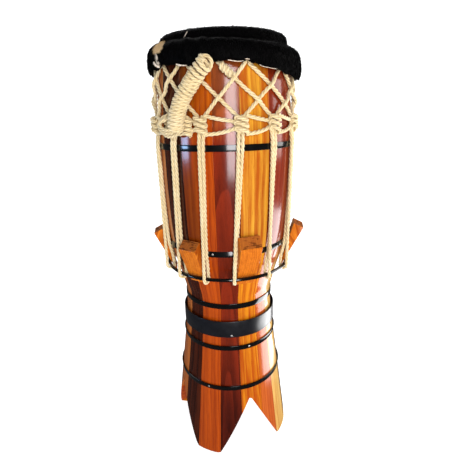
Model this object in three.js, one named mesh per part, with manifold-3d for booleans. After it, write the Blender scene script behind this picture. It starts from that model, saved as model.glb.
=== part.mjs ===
// Tall ritual drum: a goblet of sixteen wooden staves under iron hoops, a hair-on hide head pulled down
// by a net of rope, and wooden wedges that tighten the rope between an iron ring and the shell.
// Units are millimetres and degrees, +Z is up, and the drum stands on its four feet at z = 0.
// An azimuth of 0 faces -Y, the side that is seen first, and grows towards +X.

import * as THREE from 'three';
import { mergeVertices } from 'three/addons/utils/BufferGeometryUtils.js';
import Module from 'manifold-3d';

const wasm = await Module();
wasm.setup();

// Clearance between pieces that touch
const fitGap = 0.3;

// Overall height, to the top of the hide head
const headHeight = 1000;
const hideThickness = 3;

// Shell of staves: outer radius at each named height, the upper ones counted down from the head
const staveCount = 16;
const staveThickness = 17;
const footRadius = 156.5;
const ankleHeight = 124;
const ankleRadius = 141;
const waistHeight = 380;
const waistRadius = 111;
const flareHeight = 455;
const flareRadius = 118.8;
const shoulderHeight = 530;
const shoulderRadius = 139.5;
const chestHeight = 620;
const chestRadius = 149.6;
const bellyDrop = 220;
const bellyRadius = 154;
const neckDrop = 75;
const neckRadius = 147;
const rimRadius = 138;
const bearingEdge = 9;

// V notches that leave the four feet
const footCount = 4;
const firstFootAzimuth = -22.5;
const notchHeight = 153;

// Narrow iron hoops, each with a rivet
const hoopTall = 13;
const hoopThickness = 2;
const bellyHoopDrop = 218;
const bellyHoopHeight = headHeight - bellyHoopDrop;
const shoulderHoopHeight = 553;
const waistHoopHeight = 406;
const calfHoopHeight = 296;
const ankleHoopHeight = 188;
const hoops = [
  { name: 'hoop_belly', height: bellyHoopHeight, rivetAzimuth: 150 },
  { name: 'hoop_shoulder', height: shoulderHoopHeight, rivetAzimuth: -11.7 },
  { name: 'hoop_waist', height: waistHoopHeight, rivetAzimuth: -160 },
  { name: 'hoop_calf', height: calfHoopHeight, rivetAzimuth: 24.4 },
  { name: 'hoop_ankle', height: ankleHoopHeight, rivetAzimuth: -23 },
];
const rivetRadius = 2.6;
const rivetRise = 1.2;

// Wide iron band that has slid down on the waist
const bandBottom = 325.5;
const bandTall = 43;
const bandThickness = 2.5;
const bandRivetAzimuth = 3.7;
const bandRivetRise = 5.5;

// Iron rod ring that the ropes hook under
const rodRadius = 4;
const rodRingHeight = 494;
const rodRingStandoff = 20.3;

// Wedges between the rod ring and the shell; each stands above and hangs below the ring
const wedgeWidth = 39;
const wedgeOuterLean = 24;
const wedgeTopTilt = 19;
const wedges = [
  { azimuth: -82, above: 90, below: 20 },
  { azimuth: -29.5, above: 80, below: 17 },
  { azimuth: 18.6, above: 85, below: 19 },
  { azimuth: 84, above: 94, below: 16 },
  { azimuth: 133, above: 83, below: 20 },
  { azimuth: 182, above: 108, below: 18 },
  { azimuth: 229.5, above: 86, below: 19 },
];

// Rolled collar of the hide, placed by its drop below the head
const collarDrop = 22;
const collarRadius = 170;
const collarDip = 8;
const collarRoll = 29;
const hemThickness = 5;
const pleatDepth = 1.2;
const hideSlack = 2;
// Drop of the hem below the head, read as [azimuth, drop]
const hemDrops = [
  [-64, 68], [-45, 63], [-22, 62], [-11, 53], [5, 58], [18, 62], [30, 72], [45, 76], [62, 86],
  [90, 85], [135, 78], [180, 72], [225, 69], [270, 69],
];

// Rope, its knots and peaks placed by their drop below the head
const ropeRadius = 4;
const loopSides = 5;
const netSides = 4;
const loopSpread = 1.6;
const hookSpread = 1.4;
const ringClearance = 26;
const knotDrop = 168;
const knotTall = 36;
const knotDepth = 18;
const knotSides = 6;
const knotEnd = 0.75;
const peakDrop = 62;
const legSteps = 2;
// The cross ropes between knots spread at one end and meet at the other
const tieSpread = 13;
const tieMeet = 2;
const tieReach = 0.7;
const tieSteps = 1;
const legSpread = 2;
// Azimuths of the knots, of the hooks on the rod ring and of the peaks of the net
const knotAzimuths = [
  -66.5, -39.5, -15.5, 13, 40, 68.5, 93.5, 118.5, 143.5, 168.5, 193.5, 218.5, 243.5, 268.5,
];
const hookAzimuths = [
  -69.5, -43, -17.6, 6.8, 38, 65, 97, 118, 146, 168.5, 196, 216, 243, 266,
];
const peakAzimuths = [
  -55, -30, -4.5, 18.5, 51, 81, 106, 131, 156, 181, 206, 231, 256, 281,
];
// Half width of each knot in degrees, and how far it sits from its double rope
const knotHalfWidths = [6, 8.5, 7, 5.6, 6, 5.6, 5.6, 6, 5.6, 5.6, 6, 5.6, 5.6, 6];
const knotShifts = [0, -4.5, -3, 0, 0, 0, 0, 0, 0, 0, 0, 0, 0, 0];

// Spare rope wound in a tight bundle over one leg of the net, from the hem down to a knot
const bundleRadius = 17;
const bundleTurns = 13;
const windingDent = 0.86;
const bundleStandoff = 4;
const bundlePath = [
  { azimuth: -8.8, drop: 67, out: 10 },
  { azimuth: -15.5, drop: 87, out: 5 },
  { azimuth: -22.5, drop: 108, out: 0 },
  { azimuth: -29, drop: 142, out: 0 },
  { azimuth: -31.5, drop: 178, out: 0 },
];

// A few turns of rope whip the leg of one knot, over this share of the leg
const whippedKnot = 4;
const whippingSpan = [0.7, 0.92];
const whippingRadius = 7.5;
const whippingTurns = 4;

// Heights that follow from the drops
const rimHeight = headHeight - hideThickness - fitGap;
const collarTop = headHeight - collarDrop;
const knotHeight = headHeight - knotDrop;

// Facets round the shell, its hoops and rings
const facets = staveCount * 2;
const hideFacets = 32;

// How far a faceted face may be from its cut shape
const staveTolerance = 0.3;
const netTolerance = 0.5;

const woods = {
  darkRed: 0x5a1a10,
  golden: 0xc9801f,
  mahogany: 0x7a2413,
  pale: 0xd9a650,
  orange: 0xa8481a,
  darkBrown: 0x35150e,
  rosy: 0x8a4a34,
};
// Wood of each stave, going round from azimuth 0
const staveWoods = [
  'darkRed', 'golden', 'mahogany', 'pale', 'darkBrown', 'orange', 'darkRed', 'golden',
  'mahogany', 'pale', 'darkBrown', 'golden', 'orange', 'rosy', 'darkBrown', 'orange',
];

const drum = new THREE.Group();

function material(color, roughness, metalness) {
  return new THREE.MeshStandardMaterial({ color, roughness, metalness, flatShading: true });
}

const woodMaterials = Object.fromEntries(
  Object.entries(woods).map(([name, color]) => [name, material(color, 0.25, 0)]));
const ironMaterial = material(0x0b0b0c, 0.3, 0.6);
const bandMaterial = material(0x2c2e31, 0.45, 0.5);
const rivetMaterial = material(0x8c8c88, 0.35, 0.8);
const wedgeMaterial = material(0xb8692a, 0.5, 0);
const hideMaterial = material(0x0e0c0b, 0.8, 0);
const ropeMaterial = material(0xd9cba2, 0.85, 0);

function addPiece(name, geometry, look, azimuth = 0) {
  const mesh = new THREE.Mesh(geometry, look);
  mesh.name = name;
  mesh.rotation.z = THREE.MathUtils.degToRad(azimuth);
  drum.add(mesh);
}

function numbered(name, index) {
  return `${name}_${String(index + 1).padStart(2, '0')}`;
}

// A point on the drum from its azimuth, distance from the axis and height
function around(azimuth, radius, height) {
  const angle = THREE.MathUtils.degToRad(azimuth);
  return new THREE.Vector3(radius * Math.sin(angle), -radius * Math.cos(angle), height);
}

// Straight-line value at x in a sorted list of [x, value]
function readAlong(list, x) {
  const next = list.findIndex(([at]) => at >= x);
  if (next < 0) return list[list.length - 1][1];
  if (next === 0) return list[0][1];
  const [x0, y0] = list[next - 1];
  const [x1, y1] = list[next];
  return y0 + (y1 - y0) * (x - x0) / (x1 - x0);
}

// Closed solid of revolution about Z from [radius, height] corners given from the bottom outwards
function turned(corners, segments, firstAzimuth = 0) {
  const points = corners.map(([radius, height]) => new THREE.Vector2(radius, height));
  const geometry = new THREE.LatheGeometry(points, segments, THREE.MathUtils.degToRad(firstAzimuth));
  geometry.rotateX(Math.PI / 2);
  return geometry;
}

function merged(geometry) {
  const bare = geometry.clone();
  bare.deleteAttribute('normal');
  bare.deleteAttribute('uv');
  return mergeVertices(bare, 1e-3);
}

function solidFrom(geometry) {
  const bare = merged(geometry);
  const corners = bare.index.array;
  const kept = [];
  for (let i = 0; i < corners.length; i += 3) {
    const [a, b, c] = [corners[i], corners[i + 1], corners[i + 2]];
    if (a !== b && b !== c && c !== a) kept.push(a, b, c);
  }
  return new wasm.Manifold(new wasm.Mesh({
    numProp: 3,
    vertProperties: new Float32Array(bare.attributes.position.array),
    triVerts: new Uint32Array(kept),
  }));
}

// Plain geometry of a solid, without the corners that lie within a small distance of a flat face
function geometryFrom(solid, tolerance) {
  const mesh = solid.asOriginal().simplify(tolerance).getMesh();
  const geometry = new THREE.BufferGeometry();
  geometry.setAttribute('position', new THREE.BufferAttribute(new Float32Array(mesh.vertProperties), 3));
  geometry.setIndex(new THREE.BufferAttribute(new Uint32Array(mesh.triVerts), 1));
  return geometry;
}

// A path whose steps are exactly the given points
class Route extends THREE.Curve {
  constructor(points) {
    super();
    this.points = points;
  }

  getPoint(t, target = new THREE.Vector3()) {
    const place = Math.min(Math.max(t, 0), 1) * (this.points.length - 1);
    const from = Math.min(Math.floor(place), this.points.length - 2);
    return target.lerpVectors(this.points[from], this.points[from + 1], place - from);
  }

  getPointAt(u, target) {
    return this.getPoint(u, target);
  }

  getTangentAt(u, target = new THREE.Vector3()) {
    const at = Math.round(u * (this.points.length - 1));
    const before = this.points[Math.max(at - 1, 0)];
    const here = this.points[at];
    const after = this.points[Math.min(at + 1, this.points.length - 1)];
    const ahead = after.clone().sub(here).normalize();
    const behind = here.clone().sub(before).normalize();
    return target.copy(ahead).add(behind).normalize();
  }
}

// Rope through the points, each of them an end of one straight facet
function rope(points, sides) {
  const section = new THREE.Shape();
  for (let i = 0; i < sides; i++) {
    const angle = 2 * Math.PI * i / sides;
    const [x, y] = [ropeRadius * Math.cos(angle), ropeRadius * Math.sin(angle)];
    if (i === 0) section.moveTo(x, y);
    else section.lineTo(x, y);
  }
  section.closePath();
  return new THREE.ExtrudeGeometry(section, { steps: points.length - 1, extrudePath: new Route(points) });
}

// Corners of a quarter round that starts upright and ends level
function quarterRound(centreRadius, centreHeight, radius) {
  return [0, 1, 2].map((k) => [
    centreRadius + radius * Math.cos(Math.PI / 4 * k), centreHeight + radius * Math.sin(Math.PI / 4 * k),
  ]);
}

// Shell outline, two facets between neighbouring heights, then the rounded bearing edge under the hide
const edgeRadius = rimRadius - bearingEdge;
const edgeHeight = rimHeight - bearingEdge;
const stations = [
  [footRadius, 0], [ankleRadius, ankleHeight], [waistRadius, waistHeight], [flareRadius, flareHeight],
  [shoulderRadius, shoulderHeight], [chestRadius, chestHeight], [bellyRadius, headHeight - bellyDrop],
  [neckRadius, headHeight - neckDrop], [rimRadius, edgeHeight],
];
const shellCurve = new THREE.SplineCurve(stations.map(([r, z]) => new THREE.Vector2(r, z)));
const shellOutline = [
  ...shellCurve.getPoints(2 * (stations.length - 1)).map((p) => [p.x, p.y]),
  ...quarterRound(edgeRadius, edgeHeight, bearingEdge).slice(1),
];

// Outer radius of the shell at its facet corners
function shellRadius(height) {
  return readAlong(shellOutline.map(([r, z]) => [z, r]), height);
}

const rodRingRadius = shellRadius(rodRingHeight) + rodRingStandoff;

// Largest shell radius between two heights
function widestShell(low, high) {
  const inside = shellOutline.filter(([, z]) => z > low && z < high).map(([r]) => r);
  return Math.max(shellRadius(low), shellRadius(high), ...inside);
}

function buildStaves() {
  const staveAngle = 360 / staveCount;
  const flatToCorner = 1 / Math.cos(Math.PI / staveCount);
  const outer = solidFrom(turned([[0, 0], ...shellOutline, [0, rimHeight]], facets));
  const innerOutline = stations.map(([r, z]) => [(r - staveThickness) * flatToCorner, z]);
  const [bottom, top] = [innerOutline[0], innerOutline[innerOutline.length - 1]];
  const inner = solidFrom(turned(
    [[0, -1], [bottom[0], -1], ...innerOutline, [top[0], headHeight], [0, headHeight]],
    staveCount, staveAngle / 2));
  const shell = outer.subtract(inner);
  const notches = footNotches();
  for (let i = 0; i < staveCount; i++) {
    const sector = staveSector(staveAngle, i * staveAngle);
    let stave = shell.intersect(sector);
    for (const notch of notches) stave = stave.subtract(notch);
    const wood = woodMaterials[staveWoods[i % staveWoods.length]];
    addPiece(numbered('stave', i), geometryFrom(stave, staveTolerance), wood);
  }
}

// Sector of the shell that one stave fills, held back from its neighbours by the joint
function staveSector(angle, azimuth) {
  const half = THREE.MathUtils.degToRad(angle / 2);
  const reach = 2 * Math.max(bellyRadius, footRadius);
  const start = fitGap / 2 / Math.sin(half);
  const outline = new THREE.Shape([
    new THREE.Vector2(0, -start),
    new THREE.Vector2(reach * Math.tan(half), -start - reach),
    new THREE.Vector2(-reach * Math.tan(half), -start - reach),
  ]);
  const geometry = new THREE.ExtrudeGeometry(outline, { depth: rimHeight + 20, bevelEnabled: false });
  geometry.translate(0, 0, -10);
  geometry.rotateZ(THREE.MathUtils.degToRad(azimuth));
  return solidFrom(geometry);
}

// V-shaped cutters between the feet, from stave edge to stave edge
function footNotches() {
  const footAngle = 360 / footCount;
  const halfOpening = footAngle / 2 - 180 / staveCount;
  const halfWidth = footRadius * Math.sin(THREE.MathUtils.degToRad(halfOpening));
  const below = 5;
  const spread = halfWidth * (1 + below / notchHeight);
  const outline = new THREE.Shape([
    new THREE.Vector2(-spread, -below), new THREE.Vector2(spread, -below),
    new THREE.Vector2(0, notchHeight),
  ]);
  const notches = [];
  for (let i = 0; i < footCount; i++) {
    const geometry = new THREE.ExtrudeGeometry(outline, { depth: 2 * footRadius, bevelEnabled: false });
    geometry.rotateX(Math.PI / 2);
    geometry.rotateZ(THREE.MathUtils.degToRad(firstFootAzimuth + (i + 0.5) * footAngle));
    notches.push(solidFrom(geometry));
  }
  return notches;
}

// Flat ring that follows the slope of the shell
function hoopRing(bottom, tall, thickness, lowRadius, highRadius) {
  return turned([
    [lowRadius, bottom], [lowRadius + thickness, bottom],
    [highRadius + thickness, bottom + tall], [highRadius, bottom + tall], [lowRadius, bottom],
  ], facets);
}

// Inner radii of a hoop at its two edges, parallel to the shell and clear of the bulge between them
function hoopSeat(height) {
  const [low, high] = [height - hoopTall / 2, height + hoopTall / 2];
  const chord = (shellRadius(low) + shellRadius(high)) / 2;
  const clearance = Math.max(0, widestShell(height - 1, height + 1) - chord) + fitGap;
  return { low, high, lowRadius: shellRadius(low) + clearance, highRadius: shellRadius(high) + clearance };
}

const hoopSeats = hoops.map(({ height }) => hoopSeat(height));

// Largest radius of the shell and its hoops between two heights
function dressedRadius(low, high) {
  const faces = hoopSeats
    .filter((hoop) => hoop.low < high && hoop.high > low)
    .map((hoop) => Math.max(hoop.lowRadius, hoop.highRadius) + hoopThickness);
  return Math.max(widestShell(low, high), ...faces);
}

// Low round rivet head on a ring whose facet corners have the given radius
function addRivet(name, azimuth, surfaceRadius, height) {
  const facetAngle = 360 / facets;
  const facetMiddle = (Math.floor(azimuth / facetAngle) + 0.5) * facetAngle;
  const flatRadius = surfaceRadius * Math.cos(Math.PI / facets);
  const head = new THREE.CylinderGeometry(rivetRadius, 0.6 * rivetRadius, rivetRise, 6);
  head.translate(0, -flatRadius - fitGap - rivetRise / 2, 0);
  const offset = THREE.MathUtils.degToRad(azimuth - facetMiddle) * flatRadius;
  head.translate(offset, 0, height);
  addPiece(name, head, rivetMaterial, facetMiddle);
}

function buildHoops() {
  hoops.forEach(({ name, height, rivetAzimuth }, i) => {
    const { low, lowRadius, highRadius } = hoopSeats[i];
    addPiece(name, hoopRing(low, hoopTall, hoopThickness, lowRadius, highRadius), ironMaterial);
    const slope = Math.abs(highRadius - lowRadius) / hoopTall;
    const face = (lowRadius + highRadius) / 2 + hoopThickness + slope * rivetRadius;
    addRivet(`${name}_rivet`, rivetAzimuth, face, height);
  });
}

function buildBand() {
  const radius = widestShell(bandBottom, bandBottom + bandTall) + 2 * fitGap;
  addPiece('waist_band', hoopRing(bandBottom, bandTall, bandThickness, radius, radius), bandMaterial);
  addRivet('waist_band_rivet', bandRivetAzimuth, radius + bandThickness, bandBottom + bandRivetRise);
}

function buildRodRing() {
  const sides = 6;
  const section = [];
  for (let i = 0; i <= sides; i++) {
    const angle = 2 * Math.PI * i / sides;
    section.push([
      rodRingRadius + rodRadius * Math.cos(angle), rodRingHeight + rodRadius * Math.sin(angle),
    ]);
  }
  addPiece('rod_ring', turned(section, facets), ironMaterial);
}

// Tapered block: its inner face lies along the flare of the shell, its outer face leans on the rod ring
function wedgeGeometry(top, tip) {
  const halfWidth = wedgeWidth / 2;
  const ringInside = (rodRingRadius - rodRadius) * Math.cos(Math.PI / facets) - fitGap;
  const outerAtRing = Math.sqrt(ringInside ** 2 - halfWidth ** 2) - fitGap;
  const leanSlope = Math.tan(THREE.MathUtils.degToRad(wedgeOuterLean));
  const outerAt = (z) => outerAtRing + leanSlope * (z - rodRingHeight);
  const seatSlope = (shellRadius(top) - shellRadius(tip)) / (top - tip);
  const seatAt = (z) => shellRadius(tip) + seatSlope * (z - tip);
  let bulge = 0;
  for (let z = tip; z < top; z++) bulge = Math.max(bulge, dressedRadius(z, z + 1) - seatAt(z));
  const innerAt = (z) => seatAt(z) + bulge + fitGap;
  const topDrop = Math.tan(THREE.MathUtils.degToRad(wedgeTopTilt)) * (outerAt(top) - innerAt(top));
  const outline = new THREE.Shape([
    new THREE.Vector2(innerAt(tip), tip),
    new THREE.Vector2(outerAt(tip), tip),
    new THREE.Vector2(outerAt(top - topDrop), top - topDrop),
    new THREE.Vector2(innerAt(top), top),
  ]);
  const geometry = new THREE.ExtrudeGeometry(outline, { depth: wedgeWidth, bevelEnabled: false });
  geometry.translate(0, 0, -halfWidth);
  geometry.rotateX(Math.PI / 2);
  geometry.rotateZ(-Math.PI / 2);
  return geometry;
}

function buildWedges() {
  wedges.forEach(({ azimuth, above, below }, i) => {
    const geometry = wedgeGeometry(rodRingHeight + above, rodRingHeight - below);
    addPiece(numbered('wedge', i), geometry, wedgeMaterial, azimuth);
  });
}

// The collar hangs a little lower on the +X side
function collarSag(azimuth) {
  return -collarDip * Math.sin(THREE.MathUtils.degToRad(azimuth));
}

function hemHeight(azimuth) {
  const [first, firstDrop] = hemDrops[0];
  const turn = ((azimuth - first) % 360 + 360) % 360 + first;
  return headHeight - readAlong([...hemDrops, [first + 360, firstDrop]], turn);
}

// Shallow gathers where the hide is rolled over its ring
function pleat(azimuth) {
  const angle = THREE.MathUtils.degToRad(azimuth);
  return pleatDepth * (0.6 * Math.sin(17 * angle) + 0.4 * Math.sin(11 * angle + 1));
}

// Radius that keeps a flat hide facet clear of the shell, with a little slack where the hide hangs
function hideSeat(height, slack) {
  return (shellRadius(height) + fitGap) / Math.cos(Math.PI / hideFacets) + slack;
}

// One hide: a thin skin over the rim and down the side, rolled out into a collar with a hanging hem.
// Each corner has a radius, a height and the part of the hide it belongs to.
function hideCorners() {
  const under = quarterRound(edgeRadius, edgeHeight, bearingEdge + fitGap).reverse();
  const over = quarterRound(edgeRadius, edgeHeight, bearingEdge + fitGap + hideThickness);
  const flatToCorner = 1 / Math.cos(Math.PI / hideFacets);
  const skin = ([radius, height]) => [radius * flatToCorner, height, 'skin'];
  const headRadius = over[0][0];
  const ceiling = collarTop - collarRoll;
  return [
    [0, under[0][1], 'skin'], ...under.map(skin),
    [0, ceiling, 'seat'], [collarRadius - hemThickness - 2, ceiling, 'collar'],
    [collarRadius - hemThickness, 0, 'hem'], [collarRadius - 1, 0, 'hem'],
    [collarRadius, ceiling, 'collar'], [collarRadius - 2, collarTop - 13, 'collar'],
    [collarRadius - 8, collarTop - 4, 'collar'], [collarRadius - 18, collarTop, 'collar'],
    [headRadius + 2, collarTop, 'collar'], ...over.map(skin), [0, headHeight, 'skin'],
  ];
}

function buildHide() {
  const corners = hideCorners();
  const geometry = turned(corners.map(([radius, height]) => [radius, height]), hideFacets);
  for (let i = 0; i <= hideFacets; i++) {
    const azimuth = 360 * (i % hideFacets) / hideFacets;
    corners.forEach(([radius, height, part], j) => {
      const hung = height + collarSag(azimuth);
      const place = {
        skin: () => around(azimuth, radius, height),
        seat: () => around(azimuth, hideSeat(hung, hideSlack), hung),
        collar: () => around(azimuth, radius + pleat(azimuth), hung),
        hem: () => around(azimuth, radius + pleat(azimuth), hemHeight(azimuth)),
      }[part]();
      geometry.attributes.position.setXYZ(i * corners.length + j, place.x, place.y, place.z);
    });
  }
  addPiece('hide_head', geometry, hideMaterial);
}

// Azimuth of the knot, hook or peak with the given number, counted on past a full turn
function azimuthOf(list, number) {
  const turns = Math.floor(number / list.length);
  return list[number - turns * list.length] + 360 * turns;
}

// One double rope: down outside the rod ring, under it, and back up along the shell
function loopRoute(i) {
  const top = knotHeight - knotTall / 2 - 2 * fitGap;
  const [knot, hook] = [knotAzimuths[i], hookAzimuths[i]];
  const resting = (z) => dressedRadius(z - 10, z + 10) + fitGap + ropeRadius;
  const hung = (side, z) => {
    const share = (z - rodRingHeight) / (top - rodRingHeight);
    return hook + side * hookSpread + share * (knot + side * loopSpread - hook - side * hookSpread);
  };
  const points = [
    around(hung(-1, top), resting(bellyHoopHeight), top),
    around(hung(-1, bellyHoopHeight), resting(bellyHoopHeight), bellyHoopHeight),
  ];
  const bends = 3;
  const reach = (rodRadius + fitGap + ropeRadius) / Math.cos(Math.PI / bends / 2);
  for (let k = 0; k <= bends; k++) {
    const angle = Math.PI * k / bends;
    const radius = rodRingRadius + reach * Math.cos(angle);
    points.push(around(hook - hookSpread * Math.cos(angle), radius, rodRingHeight - reach * Math.sin(angle)));
  }
  const aboveRing = rodRingHeight + ringClearance;
  const middle = (shoulderHoopHeight + bellyHoopHeight) / 2;
  for (const z of [aboveRing, shoulderHoopHeight, middle, bellyHoopHeight]) {
    points.push(around(hung(1, z), resting(z), z));
  }
  points.push(around(hung(1, top), resting(bellyHoopHeight), top));
  return points;
}

function buildLoops() {
  knotAzimuths.forEach((_, i) => {
    addPiece(numbered('rope_loop', i), rope(loopRoute(i), loopSides), ropeMaterial);
  });
}

// Rope, or another round thing, lying on the shell from one [azimuth, height] to another
function ropeOnShell([fromAzimuth, fromHeight], [toAzimuth, toHeight], steps, thick = ropeRadius) {
  const halfStep = THREE.MathUtils.degToRad(Math.abs(toAzimuth - fromAzimuth) / steps / 2);
  const points = [];
  for (let k = 0; k <= steps; k++) {
    const height = THREE.MathUtils.lerp(fromHeight, toHeight, k / steps);
    const resting = dressedRadius(height - thick, height + thick) + fitGap + thick;
    const azimuth = THREE.MathUtils.lerp(fromAzimuth, toAzimuth, k / steps);
    points.push(around(azimuth, resting / Math.cos(halfStep) + fitGap, height));
  }
  return points;
}

function peakPlace(number) {
  const azimuth = azimuthOf(peakAzimuths, number);
  return [azimuth, headHeight - peakDrop + collarSag(azimuth)];
}

// Two thick turns of rope round the top of a double rope
function knotGeometry(i) {
  const half = knotTall / 2;
  const corners = [
    [0, -half], [knotEnd, -half], [1, -half / 3], [1, half / 3], [knotEnd, half], [0, half],
  ];
  const geometry = turned(corners, knotSides);
  const radius = dressedRadius(knotHeight - half, knotHeight + half) + fitGap + knotDepth / 2;
  geometry.scale(radius * THREE.MathUtils.degToRad(knotHalfWidths[i]), knotDepth / 2, 1);
  geometry.translate(0, -radius - 0.5, knotHeight);
  geometry.rotateZ(THREE.MathUtils.degToRad(knotAzimuths[i] + knotShifts[i]));
  return geometry;
}

// Tight winding of rope: a ridged column bent along a path, each ridge one turn
function winding(path, radius, turns, sides) {
  const length = path.getLength();
  const corners = [[0, 0]];
  for (let k = 0; k < turns; k++) {
    corners.push([windingDent * radius, length * k / turns], [radius, length * (k + 0.5) / turns]);
  }
  corners.push([windingDent * radius, length], [0, length]);
  const geometry = turned(corners, sides);
  const position = geometry.attributes.position;
  for (let i = 0; i < position.count; i++) {
    const along = THREE.MathUtils.clamp(position.getZ(i) / length, 0, 1);
    const centre = path.getPointAt(along);
    const tangent = path.getTangentAt(along);
    const outward = new THREE.Vector3(centre.x, centre.y, 0).normalize();
    outward.addScaledVector(tangent, -outward.dot(tangent)).normalize();
    const sideways = tangent.clone().cross(outward);
    centre.addScaledVector(outward, position.getX(i)).addScaledVector(sideways, position.getY(i));
    position.setXYZ(i, centre.x, centre.y, centre.z);
  }
  return geometry;
}

function bundleGeometry(radius) {
  const points = bundlePath.map(({ azimuth, drop, out }) => {
    const height = headHeight - drop;
    const ropes = shellRadius(height) + 2 * ropeRadius + bundleStandoff;
    return around(azimuth, ropes + bundleRadius + out, height);
  });
  return winding(new THREE.CatmullRomCurve3(points), radius, bundleTurns, knotSides);
}

// A few turns of rope that whip one leg of the net just under its peak
function legWhipping() {
  const [lowAzimuth, lowHeight] = [knotAzimuths[whippedKnot] - legSpread, knotHeight + knotTall / 4];
  const [highAzimuth, highHeight] = peakPlace(whippedKnot - 2);
  const [from, to] = whippingSpan.map((share) => [
    THREE.MathUtils.lerp(lowAzimuth, highAzimuth, share), THREE.MathUtils.lerp(lowHeight, highHeight, share),
  ]);
  const path = new THREE.CatmullRomCurve3(ropeOnShell(from, to, 2, whippingRadius));
  return winding(path, whippingRadius, whippingTurns, knotSides);
}

// The net: legs from the peaks under the collar to the knots, ties between the knots, all one body
function buildNet() {
  const parts = [];
  const addRope = (from, to, steps) => parts.push(solidFrom(rope(ropeOnShell(from, to, steps), netSides)));
  knotAzimuths.forEach((knot, i) => {
    parts.push(solidFrom(knotGeometry(i)));
    addRope([knot + legSpread, knotHeight + knotTall / 4], peakPlace(i + 1), legSteps);
    addRope([knot - legSpread, knotHeight + knotTall / 4], peakPlace(i - 2), legSteps);
    const following = (i + 1) % knotAzimuths.length;
    const next = azimuthOf(knotAzimuths, i + 1);
    const from = knot + knotShifts[i] + tieReach * knotHalfWidths[i];
    const to = next + knotShifts[following] - tieReach * knotHalfWidths[following];
    for (const side of [1, -1]) {
      addRope([from, knotHeight + side * tieSpread], [to, knotHeight + side * tieMeet], tieSteps);
    }
  });
  parts.push(solidFrom(legWhipping()));
  const net = parts.reduce((whole, part) => whole.add(part));
  const kept = net.subtract(solidFrom(bundleGeometry(bundleRadius + fitGap)));
  addPiece('rope_net', geometryFrom(kept, netTolerance), ropeMaterial);
}

function buildBundle() {
  addPiece('rope_bundle', bundleGeometry(bundleRadius), ropeMaterial);
}

buildStaves();
buildHoops();
buildBand();
buildRodRing();
buildWedges();
buildHide();
buildLoops();
buildNet();
buildBundle();

export default drum;
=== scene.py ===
# %% [markdown]
# # A tall ritual drum
# The drum is a goblet of sixteen wooden staves under iron hoops. A black hair-on hide closes its top, a
# net of twisted rope pulls the hide down, and wooden wedges tighten the rope. The solid model gives every
# size. This notebook dresses it: fine surfaces, real rope, wood grain, hair, and the light of a studio.

# %% The frame
import math

import bmesh
import bpy
from mathutils import Matrix, Vector


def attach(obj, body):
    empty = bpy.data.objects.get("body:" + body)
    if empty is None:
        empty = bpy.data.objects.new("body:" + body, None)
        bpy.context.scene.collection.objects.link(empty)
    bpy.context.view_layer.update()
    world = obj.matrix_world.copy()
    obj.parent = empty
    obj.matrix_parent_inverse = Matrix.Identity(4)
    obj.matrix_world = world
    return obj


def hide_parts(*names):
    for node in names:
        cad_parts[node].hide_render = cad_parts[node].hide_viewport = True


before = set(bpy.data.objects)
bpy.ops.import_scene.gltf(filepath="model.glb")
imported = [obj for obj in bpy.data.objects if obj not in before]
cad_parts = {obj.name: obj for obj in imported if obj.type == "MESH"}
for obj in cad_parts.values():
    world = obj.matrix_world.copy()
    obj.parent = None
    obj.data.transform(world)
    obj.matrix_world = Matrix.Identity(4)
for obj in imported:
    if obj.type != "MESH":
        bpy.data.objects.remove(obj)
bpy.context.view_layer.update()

print("nodes in the frame:", len(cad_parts))

# %% [markdown]
# ## Camera
# The photograph looks down on the head from close by, so the feet look small and far. The camera stands
# less than a metre from the axis, a little lower than the head, and is pitched down. Its film back is
# square.

# %% Camera
CAMERA_AZIMUTH, CAMERA_DISTANCE, CAMERA_HEIGHT = 1.55, 0.891, 0.845
CAMERA_PITCH, CAMERA_ROLL, CAMERA_YAW = 17.5, -1.2, 0.44
CAMERA_LENS, CAMERA_FILM = 28.58, 36.0


def add_object(name, data):
    made = bpy.data.objects.new(name, data)
    bpy.context.scene.collection.objects.link(made)
    return made


def turn_about(axis, degrees):
    return Matrix.Rotation(math.radians(degrees), 4, axis)


def make_camera():
    place = Matrix.Translation((0.0, -CAMERA_DISTANCE, CAMERA_HEIGHT))
    aim = turn_about("Z", -CAMERA_YAW) @ turn_about("X", 90 - CAMERA_PITCH) @ turn_about("Z", CAMERA_ROLL)
    camera = add_object("camera", bpy.data.cameras.new("camera"))
    camera.matrix_world = turn_about("Z", CAMERA_AZIMUTH) @ place @ aim
    camera.data.lens, camera.data.sensor_width = CAMERA_LENS, CAMERA_FILM
    bpy.context.scene.camera = camera
    return camera


camera = make_camera()
print("camera at", [round(c, 3) for c in camera.location])

# %% [markdown]
# ## Formulas for node trees
# A node tree is easier to read as a formula. `wire` adds a node, sets it, wires its inputs, and gives
# back its output as a `Value`. Values can be added, subtracted, multiplied and divided as numbers are,
# and each of those signs adds one more node to the tree.


# %% Node formulas
class Value:
    """An output socket that formulas can use as if it were a number."""

    def __init__(self, socket):
        self.socket, self.tree = socket, socket.id_data

    def __add__(self, other):
        return calc("ADD", self, other)

    def __sub__(self, other):
        return calc("SUBTRACT", self, other)

    def __rsub__(self, other):
        return calc("SUBTRACT", other, self)

    def __mul__(self, other):
        return calc("MULTIPLY", self, other)

    def __truediv__(self, other):
        return calc("DIVIDE", self, other)

    def __neg__(self):
        return calc("MULTIPLY", self, -1.0)


def wire(tree, kind, *inputs, out=0, at=None, **settings):
    """Adds a node. `inputs` are given in order, `at` gives further ones by number or name."""
    made = tree.nodes.new(kind)
    for name, value in settings.items():
        setattr(made, name, value)
    for key, value in {**dict(enumerate(inputs)), **(at or {})}.items():
        if isinstance(value, Value):
            tree.links.new(value.socket, made.inputs[key])
        elif value is not None:
            made.inputs[key].default_value = value
    return Value(made.outputs[out])


def tree_of(values):
    return next(value.tree for value in values if isinstance(value, Value))


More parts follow.
